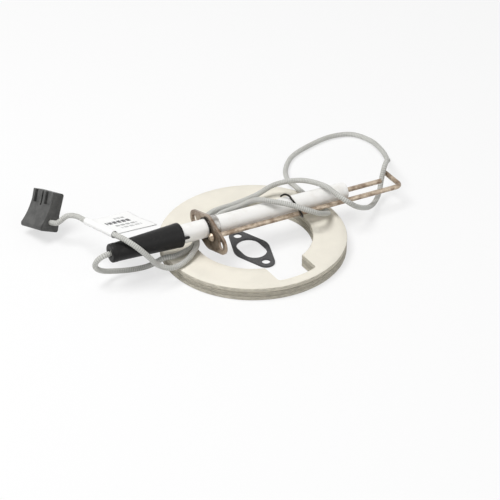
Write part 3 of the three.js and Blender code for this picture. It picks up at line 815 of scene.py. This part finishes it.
def boot_piece():
    """Ribbed boot, stepped inside for the ceramic, the terminal and the lead, with its tab."""
    rear, front = span("rubber_boot")[:2]
    front -= TAB_REACH
    mouth, tail, bore = BOOT_MOUTH, BOOT_TAIL, BOOT_BORE
    profile = [
        (rear, LEAD_BORE, 0.3), (rear, tail - 0.1, 0.9),
        (rear + 3.2, tail, 0.5), (rear + 3.6, tail - 0.12, 0.3),
        (rear + 14, tail + 0.28, 2), (front - 17.5, mouth - 0.85, 2), (front - 2.6, mouth - 0.12, 0.3),
        (front - 2.2, mouth, 0.3), (front, mouth, 0.7), (front, bore, 0.4),
        (front - 13, bore, 0), (front - 13, TERMINAL_BORE, 0), (front - 32, TERMINAL_BORE, 0),
        (front - 33, LEAD_BORE, 0),
    ]

    def mould_line(point, turn):
        """A faint parting line on both sides."""
        radius = math.hypot(point[1], point[2])
        lift = 0.06 * math.exp(-(math.sin(turn) / 0.035) ** 2) if radius > 5.2 else 0.0
        return np.array([point[0], point[1] * (1 + lift / radius), point[2] * (1 + lift / radius)])

    piece = turned("boot_shell", profile, boot_rubber, "electrode", sides=144, shape=mould_line)
    middle = np.array([0, TAB_OFF * math.cos(TAB_TURN), TAB_OFF * math.sin(TAB_TURN)])
    path = np.array([middle + np.array([x, 0, 0])
                     for x in np.linspace(front - 1.5, front + TAB_REACH, 26)])

    def tapered(reach, _):
        return TAB_RADIUS * (1 - 0.5 * max(0.0, reach - 3.9) / 0.6)

    tab = swept("boot_tab", path, tapered, 24, boot_rubber, "electrode", ELECTRODE)
    return stands_for(piece, "rubber_boot")


boot_piece()


# ------------------------------------------------------------------ ends of the lead inside the fittings
TAIL_EASE = 0.02  # keeps the sleeve inside the solid it stands for


def tail_piece(node, name):
    """The lead's end inside a fitting, in the same sleeve."""
    points = node_points(node)
    middle = points.mean(axis=0)
    axis = np.linalg.svd(points - middle)[2][0]
    reach = (points - middle) @ axis
    path = np.array([middle + axis * r for r in np.linspace(reach.min(), reach.max(), 30)])
    radius = LEAD_DIAMETER / 2 - TAIL_EASE
    return stands_for(swept(name, path, radius, 24, lead.data.materials[0], "electrode"), node)


tail_piece("lead_tail", "lead_end_in_boot")
tail_piece("plug_lead_tail", "lead_end_in_plug")


# ------------------------------------------------------------------ label
LABEL_START = np.array((-95.2, -10.45, 23.79)) + RING_CENTRE
LABEL_END = np.array((-77.2, -34.03, 30.27)) + RING_CENTRE
LABEL_HEADING = np.array((0.79, 0.58, -0.15))
LABEL_DEPTH = 28
LEAF_THICKNESS = 0.12
LEAF_OFFSET = 0.18  # of each leaf from the middle of the flag


def label_piece():
    """A paper flag wrapped round the lead, its leaves slightly waved."""
    along = LABEL_END - LABEL_START
    length = np.linalg.norm(along)
    along /= length
    out = LABEL_HEADING - along * (LABEL_HEADING @ along)
    out /= np.linalg.norm(out)
    up = np.cross(along, out)
    wrap_radius = LEAD_DIAMETER / 2 + 0.45
    rows = 46
    line = []
    for g in np.linspace(LABEL_DEPTH, wrap_radius, 40):
        line.append((g, LEAF_OFFSET))
    for turn in np.linspace(0.1, TAU - 0.1, 40)[1:-1]:
        line.append((wrap_radius * math.cos(turn), wrap_radius * math.sin(turn)))
    for g in np.linspace(wrap_radius, LABEL_DEPTH, 40):
        line.append((g, -LEAF_OFFSET))
    vertices, uv = [], []
    for i in range(rows):
        s = length * i / (rows - 1)
        for g, h in line:
            wave = 0.3 * max(0.0, (g - 4) / LABEL_DEPTH) * math.sin(s * 0.21 + g * 0.08)
            vertices.append(LABEL_START + along * s + out * g + up * (h + wave))
    faces = grid_faces(rows, len(line), closed=False)
    for face in faces:
        for v in face:
            i, k = divmod(v, len(line))
            uv.append((line[k][0], length * i / (rows - 1)))
    piece = add_mesh("label_flag", vertices, faces, label_finish(), "electrode", uv=uv)
    thick = piece.modifiers.new("paper", "SOLIDIFY")
    thick.thickness = LEAF_THICKNESS * MM
    thick.offset = 0
    return stands_for(piece, "lead_label")


label_piece()


# ------------------------------------------------------------------ floor, backdrop and lamps
FLOOR_GLOW = 0.66  # share of the floor that shines white by itself
SKY_STRENGTH = 0.34
FLOOR_HALF = 4.0
FLOOR_DROP = 0.0002  # metres under the lowest piece


def floor_finish():
    """Pale floor that reads as white to the eye and to glossy pieces, and keeps soft shadows."""
    make = Recipe("floor")
    make.fixed(Base_Color=(0.9, 0.9, 0.9), Roughness=0.9)
    camera_ray = make.node("ShaderNodeLightPath", out="Is Camera Ray")
    seen = camera_ray + camera_ray.twin("Is Glossy Ray") + camera_ray.twin("Is Transmission Ray")
    make.finish("Material Output", seen.clamped() * FLOOR_GLOW, make.emission("ShaderNodeEmission"))
    return make.owner


def world_finish():
    """White to the eye and to glossy pieces, and a dim even light to the rest."""
    make = Recipe("world", "worlds", "Background")
    camera_ray = make.node("ShaderNodeLightPath", out="Is Camera Ray")
    seen = (camera_ray + camera_ray.twin("Is Glossy Ray")).clamped()
    make.fixed(Color=(1, 1, 1), Strength=SKY_STRENGTH)
    make.finish("World Output", seen, make.emission("ShaderNodeBackground"))
    return make.owner


floor_mesh = bpy.data.meshes.new("floor")
floor_corners = [(x * FLOOR_HALF, y * FLOOR_HALF, 0) for x, y in ((-1, -1), (1, -1), (1, 1), (-1, 1))]
floor_mesh.from_pydata(floor_corners, [], [(0, 1, 2, 3)])
floor_mesh.materials.append(floor_finish())
floor = bpy.data.objects.new("floor", floor_mesh)
floor.location.z = -FLOOR_DROP
bpy.context.collection.objects.link(floor)

bpy.context.scene.world = world_finish()


def add_lamp(name, place, power, size):
    data = bpy.data.lights.new(name, "AREA")
    data.energy = power
    data.size = size
    lamp = bpy.data.objects.new(name, data)
    lamp.location = Vector(place)
    lamp.rotation_euler = (-Vector(place)).to_track_quat("-Z", "Y").to_euler()
    bpy.context.collection.objects.link(lamp)


add_lamp("key_lamp", (-0.5, -0.15, 1.3), 14.5, 0.7)
add_lamp("fill_lamp", (0.9, -0.9, 0.8), 2.6, 1.0)
